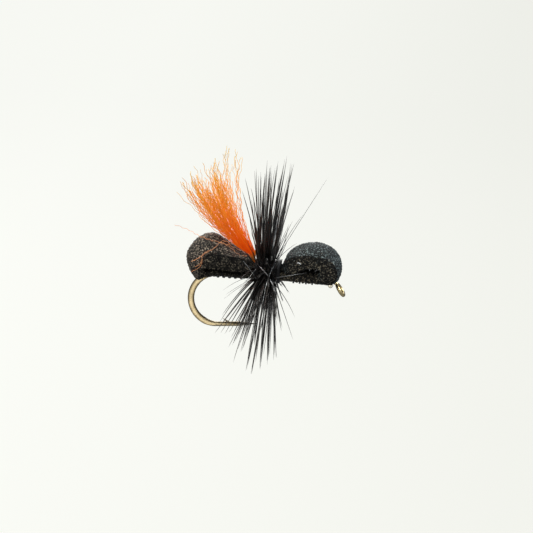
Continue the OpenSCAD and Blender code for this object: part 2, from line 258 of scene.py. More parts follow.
def yarn_paint(name, *tones):
    """Crimped yarn, deep red at its root and paler towards its tip, which is painted shade where the
    fibres crowd and painted light where the thin tips are lit through; the yarn is also lit through from
    behind.
    """
    p = Paint(name)
    along = p.attribute("along")
    own = p.attribute("own")
    # painted shade and light: darker and redder at the root, paler at the tip
    colour = p.ramp(along, *tones)
    # each fibre is deeper or paler at random: partly the dye's own spread, partly painted shade and light
    # among the fibres
    deep = p.math("MULTIPLY_ADD", own, -1.0, 0.45, clamp=True)
    colour = p.blend(deep, colour, p.blend(along, (0.76, 0.11, 0.004), (0.72, 0.31, 0.035)))
    pale = p.math("MULTIPLY_ADD", own, 1.1, -0.45, clamp=True)
    colour = p.blend(pale, colour, p.blend(along, (0.96, 0.46, 0.03), (0.84, 0.70, 0.26)))
    strayed = p.math("GREATER_THAN", own, APART - 0.5)
    colour = p.blend(strayed, colour, (0.92, 0.55, 0.30))
    p.surface(colour, p.math("MULTIPLY_ADD", p.noise(10.0), 0.2, 0.45),
              p.bump(p.noise(22.0, 2.0), 0.006, 0.4), Specular_IOR_Level=0.04)
    # painted light: a steady glow of its own, for the fluorescent dye, keeps the yarn bright where it is
    # shaded; strayed fibres hardly glow
    glow = p.blend(along, (1.0, 0.15, 0.010), (0.90, 0.50, 0.08))
    p.join(p.blend(0.5, colour, glow), p.shader.inputs["Emission Color"])
    p.put(p.shader.inputs["Emission Strength"], p.math("MULTIPLY_ADD", strayed, -0.24, 0.27))
    through = p.node("ShaderNodeBsdfTranslucent")
    p.join(colour, through.inputs["Color"])
    both = p.node("ShaderNodeMixShader")
    both.inputs["Fac"].default_value = 0.5
    p.join(p.shader.outputs[0], both.inputs[1])
    p.join(through.outputs[0], both.inputs[2])
    p.join(both.outputs[0], p.output.inputs["Surface"])
    return p.material


def hook_paint():
    """Bronzed wire with faint drawing lines: a painted reflection makes it bright down the middle of its
    two flat sides and dark round its edges.
    """
    p = Paint("hook_bronze")
    patch = p.noise(1.6, 4.0, 0.6)
    pull = p.noise(14.0, 3.0)
    facing = p.node("ShaderNodeSeparateXYZ")
    p.join(p.node("ShaderNodeNewGeometry").outputs["Normal"], facing.inputs[0])
    # painted reflection: the eye is brighter where it faces the sides
    eye_sheen = p.ramp(p.math("ABSOLUTE", facing.outputs["Y"]), (0.20, 0.30), (0.75, 1.0))
    # how far a place is from the middle line of the shank, the bend and the spear
    place = p.node("ShaderNodeSeparateXYZ")
    p.join(p.place, place.inputs[0])
    behind = p.math("MINIMUM", p.math("SUBTRACT", place.outputs["X"], bend_x), 0.0)
    above = p.math("SUBTRACT", place.outputs["Z"], shank_z - BEND_R)
    line = p.math("SQRT", p.math("ADD", p.math("MULTIPLY", behind, behind),
                                 p.math("MULTIPLY", above, above)))
    away = p.math("ABSOLUTE", p.math("SUBTRACT", line, BEND_R))
    away = p.math("MULTIPLY_ADD", patch, 0.10, away)
    # painted reflection: bright down the middle of the wire, dark towards its edges
    sheen_band = p.ramp(p.math("DIVIDE", away, FORGED_W / 2), (0.35, 1.0), (0.95, 0.0))
    in_eye = p.math("GREATER_THAN", place.outputs["X"], base_hi[0])
    bright = p.blend(in_eye, (0.96, 0.78, 0.46), (1.00, 0.80, 0.42))
    sheen_band = p.blend(in_eye, sheen_band, eye_sheen)
    return p.surface(
        p.blend(sheen_band, (0.120, 0.088, 0.038), bright),
        p.math("MULTIPLY_ADD", pull, 0.22, p.math("MULTIPLY_ADD", patch, 0.16, 0.10)),
        p.bump(pull, 0.006, 0.35),
        Metallic=1.0)


def cement_paint():
    p = Paint("cement")
    cloud = p.noise(6.0, 3.0)
    return p.surface(
        p.blend(cloud, (0.90, 0.82, 0.66), (0.98, 0.94, 0.84)),
        p.math("MULTIPLY_ADD", cloud, 0.2, 0.12),
        p.bump(cloud, 0.01, 0.4),
        Transmission_Weight=0.75,
        IOR=1.30)


hackle_black, quill_brown = hackle_paint(), quill_paint()
# the wing runs from a deep red root, painted shade, to pale tips, painted light
yarn_orange = yarn_paint("yarn", (0.0, (0.86, 0.14, 0.006)), (0.15, (0.93, 0.31, 0.010)),
                         (0.45, (0.96, 0.58, 0.080)), (0.75, (0.90, 0.60, 0.12)),
                         (1.0, (0.55, 0.42, 0.14)))
# painted shade: the butt is near black along the part that lies under the wraps, and turns orange only
# where it rises to the wing
yarn_root = yarn_paint("yarn_root", (0.0, (0.03, 0.008, 0.004)), (0.62, (0.06, 0.012, 0.004)),
                       (0.85, (0.70, 0.08, 0.006)), (1.0, (0.84, 0.15, 0.008)))
cement_amber = cement_paint()


# ---- mesh helpers ----

def make_piece(name, points, faces, nodes, slot, material, **attributes):
    """One smooth-shaded mesh from points in millimetres, which stands for the CAD nodes."""
    mesh = bpy.data.meshes.new(name)
    mesh.from_pydata((np.asarray(points, float) * MM).tolist(), [], faces)
    mesh.polygons.foreach_set("use_smooth", [True] * len(mesh.polygons))
    for key, values in attributes.items():
        field = mesh.attributes.new(key, "FLOAT", "POINT")
        field.data.foreach_set("value", np.asarray(values, np.float32))
    mesh.materials.append(material)
    mesh.validate()
    made = bpy.data.objects.new(name, mesh)
    bpy.context.scene.collection.objects.link(made)
    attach(made, "root")
    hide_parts(*nodes)
    return made


def skin_faces(count, sides, first=0, closed=True):
    """Quads that join count rings of points, with their ends closed."""
    faces = [(first + i * sides + j, first + i * sides + (j + 1) % sides,
              first + (i + 1) * sides + (j + 1) % sides, first + (i + 1) * sides + j)
             for i in range(count - 1) for j in range(sides)]
    if closed:
        faces.append(tuple(first + j for j in reversed(range(sides))))
        faces.append(tuple(first + (count - 1) * sides + j for j in range(sides)))
    return faces


def unit(v):
    v = np.asarray(v, float)
    return v / np.linalg.norm(v, axis=-1, keepdims=True)


def smooth_path(points, count):
    """count points along a Catmull-Rom curve through the given ones."""
    p = np.asarray(points, float)
    p = np.vstack([2 * p[0] - p[1], p, 2 * p[-1] - p[-2]])
    spot = np.linspace(0, len(p) - 3, count)
    i = np.minimum(spot.astype(int), len(p) - 4)
    t = (spot - i)[:, None]
    a, b, c, d = p[i], p[i + 1], p[i + 2], p[i + 3]
    return (2 * b + (c - a) * t + (2 * a - 5 * b + 4 * c - d) * t ** 2
            + (3 * b - a - 3 * c + d) * t ** 3) / 2


class Strands:
    """Collects many strands into one mesh."""

    def __init__(self):
        self.points, self.faces, self.along, self.own = [], [], [], []
        self.count = 0

    def add(self, path, radii, sides=5, own=0.5, flat=1.0, out=None, end=1.0):
        """A strand along path. flat squeezes it along the direction out."""
        path = np.asarray(path, float)
        n = len(path)
        radii = np.broadcast_to(np.asarray(radii, float), (n,))
        t = unit(np.gradient(path, axis=0))
        out = np.broadcast_to(np.asarray(unit([0.3, 0.9, 0.2]) if out is None else out, float),
                              path.shape)
        u = unit(out - (out * t).sum(1)[:, None] * t)
        v = np.cross(t, u)
        a = np.arange(sides) * 2 * math.pi / sides
        ring = (np.cos(a)[None, :, None] * u[:, None, :] * flat
                + np.sin(a)[None, :, None] * v[:, None, :])
        self.points.append((path[:, None, :] + radii[:, None, None] * ring).reshape(-1, 3))
        self.faces += skin_faces(n, sides, self.count)
        self.along.append(np.repeat(np.linspace(0, end, n), sides))
        self.own.append(np.full(n * sides, own))
        self.count += n * sides

    def piece(self, name, nodes, slot, material):
        make_piece(name, np.vstack(self.points), self.faces, nodes, slot, material,
                   along=np.concatenate(self.along), own=np.concatenate(self.own))


# ---- places, from the frame ----

waist_lo, waist_hi = mm_box("waist_thread")
waist_x, waist_z = (waist_lo[0] + waist_hi[0]) / 2, (waist_lo[2] + waist_hi[2]) / 2
waist_r = (waist_hi[1] - waist_lo[1]) / 2
waist_back, waist_front = waist_lo[0], waist_hi[0]
base_lo, base_hi = mm_box("shank_thread")
shank_z = (base_lo[2] + base_hi[2]) / 2
base_r = (base_hi[2] - base_lo[2]) / 2
quill_lo, quill_hi = mm_box("quill")
QUILL_D = 0.26
QUILL_TURNS = 5
quill_r = (quill_hi[1] - quill_lo[1]) / 2 - QUILL_D / 2
quill_back, quill_front = quill_lo[0] + QUILL_D / 2, quill_hi[0] - QUILL_D / 2
THREAD_D = 0.12
BEND_R, FORGED_W = 2.5, 0.62  # the bend's middle line, and the wire's width where it is flat
bend_x = mm_box("hook")[0][0] + FORGED_W / 2 + BEND_R


# ---- foam ----

# The upper leaves and folds of the two strips. They are as the CAD model has them, but for the
# head's inner face, which stands a little more open at its edges. Each station gives the outer
# face (x, height), the inner face (x, height), the half width, and how far each face falls away
# at its edges. Heights are above the middle of the shank.
ABDOMEN = [
    (-8.28, 1.34, -8.28, 0.96, 0.72, 0.30, 0.00), (-8.75, 1.86, -8.70, 1.02, 1.45, 0.10, 0.20),
    (-9.60, 2.30, -9.50, 1.24, 1.95, 0.10, 0.40), (-10.5, 2.80, -10.3, 1.44, 2.08, 0.50, 0.65),
    (-11.3, 3.42, -11.1, 1.72, 2.10, 1.05, 0.90), (-12.3, 3.90, -12.0, 2.10, 2.10, 1.45, 1.25),
    (-13.3, 3.70, -12.7, 2.00, 2.10, 1.60, 1.15), (-14.3, 2.85, -13.0, 1.45, 2.10, 1.70, 0.75),
    (-14.8, 1.65, -13.15, 0.95, 2.08, 1.50, 0.25), (-14.5, 0.35, -13.0, 0.70, 2.00, 1.20, 0.10),
    (-13.7, -0.65, -12.75, 0.62, 1.85, 0.65, -0.15),
    (-12.9, -0.38, -12.45, 0.90, 1.65, 0.50, -0.40)]
HEAD = [
    (-5.72, 1.34, -5.72, 0.96, 0.72, 0.30, 0.00), (-5.20, 2.35, -5.10, 1.06, 1.65, 0.20, 0.15),
    (-4.50, 3.02, -4.30, 1.35, 2.00, 0.35, 0.25), (-3.60, 3.50, -3.45, 1.75, 2.10, 0.60, 0.24),
    (-2.40, 3.70, -2.50, 1.95, 2.10, 0.85, 0.28), (-1.20, 3.36, -2.05, 1.95, 2.10, 0.70, 0.25),
    (-0.35, 2.55, -1.85, 1.72, 2.08, 0.40, 0.20), (0.00, 1.55, -1.78, 1.45, 2.05, 0.30, 0.15),
    (-0.12, 0.60, -1.85, 1.22, 2.00, 0.25, 0.10), (-0.65, -0.05, -2.00, 1.12, 1.90, 0.40, -0.05)]
LEAF_BOTTOM = -0.22  # under the lashing, the lower leaf sits on the shank
# a leaf's top, half width and edges where the waist's thread pinches it
PINCHED_TOP, PINCHED_W, PINCHED_SAG = 0.86, 0.70, (0.15, -0.10)
# The lashed lower leaves: x, the half width and the top, each at the fold and near the waist, then
# how far the thread draws up the edges of the bottom and draws down those of the top, and its turns
Leaf = namedtuple("Leaf", "x0 x1 w0 w1 top0 top1 drawn_up drawn_down turns")
ABDOMEN_LEAF = Leaf(-12.2, -8.9, 1.52, 1.15, 1.15, 0.84, 0.36, 0.55, 6)
HEAD_LEAF = Leaf(-2.10, -5.10, 1.78, 1.20, 1.14, 0.90, 0.42, 0.15, 5)
GROOVE = 0.19  # how far the thread presses a leaf in, as a share
RIM_H = 0.45  # painted shade: the strip's sides are darker this near its outer face, under its edge

FACE, SIDE, CORNER = 64, 26, 7  # points on each part of a section


def bar_section(w, h, r):
    """A bar's outline, from the middle of its far edge, anticlockwise: offsets in y and v."""
    r = min(r, 0.9 * h, 0.9 * w)
    a = np.linspace(0, math.pi / 2, CORNER + 2)[1:-1]
    quarter = np.stack([r * np.cos(a), r * np.sin(a)], 1)
    side = np.linspace(-1, 1, SIDE)[:, None] * [0, h - r]
    face = np.linspace(1, -1, FACE)[:, None] * [w - r, 0]
    turn = np.array([[0, -1], [1, 0]])
    quarter2 = quarter @ turn.T
    return np.vstack([side + [w, 0], quarter + [w - r, h - r], face + [0, h],
                      quarter2 + [r - w, h - r], -side - [w, 0], -quarter + [r - w, r - h],
                      -face - [0, h], -quarter2 + [w - r, r - h]])


def along_leaf(leaf, x):
    return (x - leaf.x0) / (leaf.x1 - leaf.x0)


def thread_phase(leaf, x):
    """The angle about the leaf, in degrees, at which the lashing passes x."""
    return 360 * leaf.turns * along_leaf(leaf, x) - 90


def pressed(leaf, x, a):
    """How far the lashing presses the leaf in, as a share, at x and at the angles a."""
    t = along_leaf(leaf, x)
    away = ((a - thread_phase(leaf, x)) / 360 + 0.5) % 1 - 0.5
    return GROOVE * min(1, max(0, 10 * t), max(0, 10 * (1 - t))) * np.exp(-(away / 0.24) ** 2)


def leaf_at(leaf, x):
    """The half width and the top of the leaf at x."""
    t = along_leaf(leaf, x)
    return leaf.w0 + (leaf.w1 - leaf.w0) * t, leaf.top0 + (leaf.top1 - leaf.top0) * t


def ring_of(station, corner, leaf, lashed=False):
    """One section of the strip: its points, in order round the bar, and their painted shade under the
    outer face's edge.
    """
    outer_x, outer_h, inner_x, inner_h, w, outer_falls, inner_falls = station
    outer = np.array([outer_x, 0, shank_z + outer_h])
    inner = np.array([inner_x, 0, shank_z + inner_h])
    middle, h = (outer + inner) / 2, np.linalg.norm(outer - inner) / 2
    d = (outer - inner) / (2 * h)
    way = 1 if leaf.x1 > leaf.x0 else -1
    section = bar_section(w, h, corner)
    y, v = section[:, 0], section[:, 1]
    y = y * (1 + 0.035 * (1 - np.minimum(1, (v / h) ** 2)))
    sag = (outer_falls * (1 + v / h) + inner_falls * (1 - v / h)) / 2 * (y / w) ** 2
    a = np.degrees(np.arctan2(v / h, y / w))
    a = a + 180 if way > 0 else -a
    rim = np.clip((v - h + RIM_H) / (RIM_H - corner), 0, 1) * (np.abs(section[:, 0]) > w - 0.02)
    local = np.stack([np.zeros_like(y), -way * y, np.zeros_like(y)], 1) + np.outer(v - sag, d)
    if lashed:
        local = (1 - pressed(leaf, outer_x, a))[:, None] * local
    return middle + local, rim


def folded_strip(upper, leaf):
    """Rings of the whole strip: along the upper leaf, round the fold, back under the lashing.

    It also gives how far each point is in the painted shade under the outer face's edge, and whether it is
    on the lashed leaf.
    """
    way = 1 if leaf.x1 > leaf.x0 else -1
    end_x = waist_x - 0.05 * way
    first = (end_x, upper[0][1], end_x, upper[0][3], PINCHED_W, upper[0][5], upper[0][6])

    def lower(x, top, w, sag):
        return (x, LEAF_BOTTOM, x, top, w, *sag)

    sag = (leaf.drawn_up, -leaf.drawn_down)
    join = lower(leaf.x0, leaf.top0, leaf.w0, sag)
    steps = 17
    fold = smooth_path([first, *upper, join], (len(upper) + 1) * steps)
    rings = []
    for k, s in enumerate(fold):
        near_end = min(1, k / steps)
        late = max(0, k / (len(fold) - 1) - 0.88) / 0.12
        corner = 0.04 + 0.02 * near_end + 0.34 * late
        rings.append(ring_of(s, corner, leaf))
    folded = len(rings)
    lashed = leaf.turns * 13
    for k in range(1, lashed + 1):
        x = leaf.x0 + (leaf.x1 - leaf.x0) * k / lashed
        w, top = leaf_at(leaf, x)
        rings.append(ring_of(lower(x, top, w, sag), 0.40, leaf, lashed=True))
    held, last = (lower(x, PINCHED_TOP, PINCHED_W, PINCHED_SAG)
                  for x in (waist_x - 1.15 * way, end_x))
    tail = smooth_path([lower(leaf.x1, leaf.top1, leaf.w1, sag), held, last], 24)
    rings += [ring_of(s, 0.40, leaf) for s in tail[1:]]
    points, rim = (np.array(part) for part in zip(*rings))
    # the lashed leaf is dark where the upper one shades it
    tops = points[folded:, :, 2] - shank_z
    rim[folded:] = np.clip((tops - 0.30) / 0.50, 0, 1)
    return points, rim, np.repeat(np.arange(len(rings)) >= folded, len(points[0]))


def roughen(rings, seed):
    """Lumps, and the pores of the cut cells, raised along the surface's own direction."""
    grid = np.array(rings)
    along = np.gradient(grid, axis=0)
    round_way = (np.roll(grid, -1, axis=1) - np.roll(grid, 1, axis=1)) / 2
    normal = np.cross(round_way, along)
    size = np.linalg.norm(normal, axis=2, keepdims=True)
    normal = normal / np.maximum(size, 1e-9)
    # normals point out of the bar
    centre = grid.mean(axis=1, keepdims=True)
    if ((grid - centre) * normal).sum() < 0:
        normal = -normal
    flat, raised = grid.reshape(-1, 3), np.empty(grid.shape[0] * grid.shape[1])
    shift = Vector((seed * 7.3, seed * 3.1, seed * 5.7))
    for i, p in enumerate(flat):
        q = Vector(p) + shift
        lump = noise.noise(q * 0.9) * 0.045 + noise.noise(q * 2.3) * 0.018
        cell = noise.voronoi(q * 4.2)[0]
        pore = min(0.5, cell[1] - cell[0]) - 0.25
        raised[i] = lump + 0.13 * pore + 0.022 * noise.noise(q * 7.0)
    return flat + raised[:, None] * normal.reshape(-1, 3)


def make_foam(name, node, slot, material, upper, leaf, seed):
    rings, rim, lashed = folded_strip(upper, leaf)
    piece = make_piece(name, roughen(rings, seed), skin_faces(len(rings), len(rings[0])),
                       [node], slot, material, rim=rim.reshape(-1), lashed=lashed)


make_foam("foam.abdomen", "abdomen_foam", "foam_abdomen", foam_dark, ABDOMEN, ABDOMEN_LEAF, 1)
make_foam("foam.head", "head_foam", "foam_head", foam_sky_lit, HEAD, HEAD_LEAF, 2)


# ---- thread ----

def helix(x0, x1, turns, radius, centre_z, per_turn=28, phase=0.0, wobble=0.0, seed=0):
    """A strand's path wound about the X axis, with its own outward directions."""
    n = int(turns * per_turn) + 1
    t = np.linspace(0, 1, n)
    a = 2 * math.pi * (turns * t + phase)
    r = radius + wobble * np.array([noise.noise(Vector((seed, 1.7 * k / per_turn, 0)))
                                    for k in range(n)])
    out = np.stack([np.zeros(n), np.cos(a), np.sin(a)], 1)
    path = np.stack([x0 + (x1 - x0) * t, np.zeros(n), np.full(n, centre_z)], 1) + r[:, None] * out
    return path, out


def make_lashing(name, node, leaf):
    """The thread that spirals along a leaf, in the grooves that it presses, and under the shank."""
    per_turn = 40
    strands = Strands()
    path = []
    for k in range(per_turn // 2, leaf.turns * per_turn - per_turn // 2 + 1):
        x = leaf.x0 + (leaf.x1 - leaf.x0) * k / (leaf.turns * per_turn)
        w, top = leaf_at(leaf, x)
        a = math.radians(thread_phase(leaf, x))
        y, v = (math.copysign(abs(f(a)) ** 0.62, f(a)) for f in (math.cos, math.sin))
        middle = shank_z + (top + LEAF_BOTTOM) / 2
        up = (top - LEAF_BOTTOM) / 2 * (1 - GROOVE) + 0.03
        down = middle - (shank_z - base_r - THREAD_D / 2)
        drawn = y * y * ((1 - v) * leaf.drawn_up - (1 + v) * leaf.drawn_down) / 2
        path.append((x, (w * (1 - GROOVE) + 0.03) * y,
                     middle + v * (up if v > 0 else down) + drawn))
    out = np.array(path) - [[p[0], 0, shank_z] for p in path]
    for side in (-0.35, 0.35):  # the thread lies flat, as two strands side by side
        strands.add(np.array(path) + [side * THREAD_D, 0, 0], THREAD_D * 0.40, 6, out=unit(out),
                    flat=0.75)
    strands.piece(name, [node], "thread", black_thread)


make_lashing("thread.abdomen_lashing", "abdomen_lashing", ABDOMEN_LEAF)
make_lashing("thread.head_lashing", "head_lashing", HEAD_LEAF)

shank_wraps = Strands()
length = base_hi[0] - base_lo[0]
path, out = helix(base_lo[0] + 0.04, base_hi[0] - 0.04, length / 0.105, base_r - 0.05, shank_z,
                  per_turn=16, wobble=0.012, seed=3)
shank_wraps.add(path, 0.055, 5, out=out)
shank_wraps.piece("thread.shank", ["shank_thread"], "thread", base_thread)

# The waist: layers of wraps over the pinched foam, with some that cross the others.
waist_wraps = Strands()
core_x = np.linspace(waist_back + 0.03, waist_front - 0.03, 20)
waist_wraps.add(np.stack([core_x, core_x * 0, core_x * 0 + waist_z], 1), waist_r - 0.10, 32)
path, out = helix(waist_back + 0.06, waist_front - 0.06, 20.5, waist_r - THREAD_D * 0.55, waist_z,
                  wobble=0.02, seed=5)
waist_wraps.add(path, THREAD_D * 0.55, 6, out=out, flat=0.85)
for seed, (x0, x1, turns) in enumerate([(-8.1, -6.6, 2.5), (-7.2, -5.9, 3.0), (-6.9, -8.0, 2.0)]):
    path, out = helix(x0, x1, turns, waist_r - 0.02, waist_z, phase=0.3 * seed, wobble=0.01,
                      seed=seed)
    waist_wraps.add(path, THREAD_D * 0.45, 6, out=out, flat=0.7)
waist_wraps.piece("thread.waist", ["waist_thread"], "thread", black_thread)

whip_lo, whip_hi = mm_box("whip_finish")
whip = Strands()
path, out = helix(whip_lo[0] + THREAD_D / 2, whip_hi[0] - THREAD_D / 2, 4,
                  waist_r + THREAD_D * 0.45, waist_z, wobble=0.01, seed=9)
whip.add(path, THREAD_D * 0.52, 7, out=out, flat=0.9)
path, out = helix(whip_lo[0] + 0.02, whip_hi[0] + 0.05, 0.7, waist_r + THREAD_D * 0.9, waist_z,
                  phase=0.55)
whip.add(path, THREAD_D * 0.4, 6, out=out, flat=0.8)
whip.piece("thread.whip_finish", ["whip_finish"], "thread", black_thread)


# ---- hackle ----

quill_strand = Strands()
path, out = helix(quill_back, quill_front, QUILL_TURNS, quill_r, waist_z, per_turn=36,
                  wobble=0.015, seed=11)
quill_strand.add(path, np.linspace(1, 0.72, len(path)) * QUILL_D / 2, 9, out=out, flat=0.85)
quill_strand.piece("hackle.quill", ["quill"], "quill", quill_brown)

hackle = Strands()
dice = random.Random(41)
BUNCHES = 120  # barbs that cling to each other
BARB_L = 9.4
WEB_BARBS, SWEPT_BARBS = 260, 15


def add_barb(root, tip, bow, radius, own, steps):
    """A tapered barb from root to tip, bent sideways by bow at its middle."""
    root, tip, bow = (np.asarray(v, float) for v in (root, tip, bow))
    u = np.linspace(0, 1, steps)[:, None]
    path = root + (tip - root) * u + bow * 4 * u * (1 - u)
    radii = radius * (1 - 0.30 * u[:, 0]) * np.sqrt(np.maximum(1 - u[:, 0] ** 3, 0.012))
    hackle.add(path, radii, 5, own=own, flat=0.7, out=unit(np.cross(tip - root, X + 0.1 * Z)))


def quill_point(f, a):
    """Where the barb at angle a leaves the quill, and the way that it points."""
    out = np.array([0, math.cos(a), math.sin(a)])
    return np.array([quill_back + (quill_front - quill_back) * f, 0, waist_z]) + out * quill_r, out


for k in range(BUNCHES):
    # the bunches stand evenly round the fly, and their tips spread evenly along it, a little
    # forward above and back below
    spread = (k + dice.random()) / BUNCHES
    around = (k * 0.618 + dice.gauss(0, 0.006)) % 1
    f, a = (int(spread * QUILL_TURNS) + around) / QUILL_TURNS, 2 * math.pi * around
    root, out = quill_point(f, a)
    reach = (BARB_L + 0.2 * out[2] + 0.7 * out[2] ** 2) * (1.0 - 0.24 * dice.random() ** 2)
    reach -= (1.1 - 0.7 * out[2]) * (2 * spread - 1) ** 2
    tip_x = waist_x - 0.30 + 0.48 * out[2] + (2.15 - 0.25 * out[2]) * (2 * spread - 1)
    round_way = np.cross(X, out)
    tip = root + out * reach + X * (tip_x - root[0]) + round_way * dice.gauss(0, 0.35)
    bow = X * dice.gauss(0.0, 0.06) + round_way * dice.gauss(0, 0.2)
    own, radius = dice.random(), 0.049 + 0.014 * dice.random()
    for _ in range(dice.choice((1, 2, 3))):
        root, out = quill_point(f + dice.gauss(0, 0.010), a + dice.gauss(0, 0.05))
        end = root + (tip - root) * dice.uniform(0.84, 1.0) + X * dice.gauss(0, 0.06)
        add_barb(root, end, bow + X * dice.gauss(0, 0.03), radius, own + dice.gauss(0, 0.1), 14)

# Short barbs from the feather's tip and its web fill the hackle near the waist.
for _ in range(WEB_BARBS):
    f = dice.random()
    root, out = quill_point(f, 2 * math.pi * dice.random())
    reach = dice.uniform(1.4, 4.8)
    lean = reach * (-0.16 + 0.31 * f + dice.gauss(0, 0.06))
    add_barb(root, root + out * reach + X * lean, X * dice.gauss(0, 0.08), 0.044, dice.random(), 8)

# Thick ones that sweep back and down on the near side.
for t in np.arange(SWEPT_BARBS) / (SWEPT_BARBS - 1):
    root, out = quill_point(0.12 + 0.30 * t, math.radians(200 + 22 * t + dice.gauss(0, 4)))
    tip = np.array([-11.3 + 2.3 * t + dice.gauss(0, 0.15), -4.6,
                    -3.0 - 2.6 * t + dice.gauss(0, 0.25)])
    tip = root + (tip - root) * dice.uniform(0.80, 1.06)
    add_barb(root, tip, (dice.gauss(0, 0.05), 0, dice.gauss(0.15, 0.1)), 0.066, dice.random(), 16)

# Barbs that stand apart, with their roots on the quill: (root, tip, radius, own value).
STRAY_BARBS = [
    # thin ones to the rear
    ((-7.9, -1.0, 1.0), (-10.9, -3.0, -0.1), 0.028, 0), ((-7.9, -1.0, 0.9), (-10.6, -3.0, -0.5), 0.028, 0),
    ((-7.9, -1.1, 0.8), (-10.7, -4.0, -0.7), 0.022, 1),
    # long fine ones ahead, above and below
    ((-6.3, 0.5, 2.4), (-2.0, 3.0, 10.1), 0.026, 0), ((-6.3, 0.6, 2.4), (-4.1, 1.6, 6.6), 0.030, 0),
    ((-6.3, -0.6, 2.3), (-4.3, -1.5, 4.6), 0.032, 0),
    ((-6.3, -0.6, 0.3), (-3.9, -4.0, -1.9), 0.036, 0), ((-6.3, -0.4, 0.2), (-4.0, -3.0, -4.4), 0.036, 0),
    # behind the wing
    ((-7.9, 1.0, 2.2), (-9.8, 2.0, 9.7), 0.062, 0.2), ((-7.9, 1.0, 2.2), (-10.0, 2.0, 8.4), 0.066, 0.2),
    ((-8.0, 0.9, 2.1), (-9.2, 2.0, 6.1), 0.048, 0.2), ((-7.8, 0.9, 2.3), (-9.2, 2.0, 8.8), 0.060, 0.8),
    ((-7.8, 0.8, 2.3), (-8.9, 1.6, 10.6), 0.056, 0.8),
    # across the waist, pale with a painted highlight
    ((-7.9, -1.2, 0.7), (-8.95, -5.0, 3.45), 0.042, APART),
    ((-7.7, -1.2, 2.0), (-5.7, -5.2, 0.6), 0.044, APART),
    ((-6.4, -1.1, 2.1), (-6.9, -5.0, -0.6), 0.030, APART),
    ((-7.9, -1.1, 1.9), (-8.5, -5.0, 1.6), 0.030, APART),
    # up beside the wing's root
    ((-7.9, -1.1, 2.0), (-9.0, -2.6, 4.9), 0.034, 0.1)]
for k, (root, tip, radius, own) in enumerate(STRAY_BARBS):
    bow = (0.12 * math.sin(2.4 * k), 0, 0.20 + 0.1 * math.cos(1.7 * k))
    add_barb(root, tip, bow, radius, own, 18)
# These lie along the side of the head, pale with a painted highlight.
for root, tip, radius in [((-6.25, -1.15, 1.0), (-3.1, -2.35, 2.05), 0.024),
                          ((-6.25, -1.05, 0.9), (-3.9, -2.35, 1.85), 0.020)]:
    add_barb(root, tip, (0, -0.32, 0.1), radius, APART, 18)
# A broken tip that clings to the head, pale with a painted highlight.
add_barb((-4.10, -2.30, 2.90), (-3.72, -2.42, 2.80), (0.02, 0, 0.08), 0.085, APART, 6)
hackle.piece("hackle.barbs", ["hackle_barbs"], "hackle", hackle_black)


# ---- wing ----

ROOT_BACK, ROOT_FRONT = np.array([-8.78, 0, shank_z + 2.06]), np.array([-8.30, 0, shank_z + 2.36])
WING_L = 11.0
wing = Strands()
dice = random.Random(77)


def add_fibre(root, lean, tip_side, long, crimp, wavelength, phase, thick, own, curl=0.0):
    """A crimped fibre whose lean back changes from lean[0] to lean[1] degrees on its way up."""
    steps = 34
    u = np.linspace(0, 1, steps)
    s = u * long
    angle = np.radians(lean[0] + (lean[1] - lean[0]) * s / WING_L)
    way = np.stack([-np.sin(angle), np.full(steps, math.sin(math.radians(tip_side))),
                    np.cos(angle)], 1)
    back_way = np.stack([-np.cos(angle), np.zeros(steps), -np.sin(angle)], 1)
    grow = np.minimum(1, s / 4.5)
    wave = 2 * math.pi * s / wavelength + phase
    slow = 0.13 * u * np.sin(wave * 0.31 + 2 * phase) + curl * u ** 2
    straight = np.vstack([np.zeros(3), np.cumsum((way[1:] + way[:-1]) / 2, 0)])
    path = (root + straight * long / (steps - 1)
            + (crimp * grow * np.sin(wave) + slow)[:, None] * back_way
            + np.outer(crimp * grow * np.cos(wave * 0.83 + phase), Y))
    wing.add(path, thick / 2 * (1 - 0.18 * u), 4, own=own, end=long / WING_L)


# Fibres keep together in locks of five, from the back to the front, but those in the front stand
# apart.
LOCKS, LONE_LOCKS = 56, 8
for lock in range(LOCKS):
    across, deep = (lock + 2 * dice.random() - 0.5) / LOCKS, dice.random()
    few = lock >= LOCKS - LONE_LOCKS
    across = across if few else across * 0.92
    lean, side = (60 - 33 * across, 25 - 29 * across + dice.gauss(0, 4)), 15 * (deep - 0.5)
    longest = WING_L * (0.94 + 0.055 * math.sin(math.pi * min(1, max(0, across)) ** 1.3))
    long = longest * (1 - (0.08 if few else 0.26 + 0.22 * across) * dice.random() ** 0.8)
    crimp, wavelength = 0.05 + 0.07 * dice.random(), dice.uniform(0.9, 1.5)
    phase, curl = dice.uniform(0, 2 * math.pi), dice.gauss(0, 0.22)
    root = ROOT_BACK + (ROOT_FRONT - ROOT_BACK) * across + Y * 0.5 * (deep - 0.5)
    warm = dice.random()
    for _ in range(1 if few else 5):
        swing = dice.gauss(0, 1.1)
        add_fibre(root + Y * dice.gauss(0, 0.03) + X * dice.gauss(0, 0.02),
                  (lean[0] + swing, lean[1] + swing + dice.gauss(0, 2.5)), side + dice.gauss(0, 1.5),
                  long * dice.uniform(0.92 if few else 0.82, 1.0), crimp * dice.uniform(0.8, 1.2),
                  wavelength * dice.uniform(0.94, 1.06), phase + dice.gauss(0, 0.6),
                  dice.uniform(0.040, 0.057), min(1, max(0, warm + dice.gauss(0, 0.40))),
                  curl + dice.gauss(0, 0.15))
# Two more stand apart at the back.
add_fibre(ROOT_BACK, (61, 37), -3, 9.2, 0.06, 1.3, 0.5, 0.050, 0.7)
add_fibre(ROOT_BACK, (62, 31), 4, 8.4, 0.07, 1.1, 2.0, 0.046, 0.8)

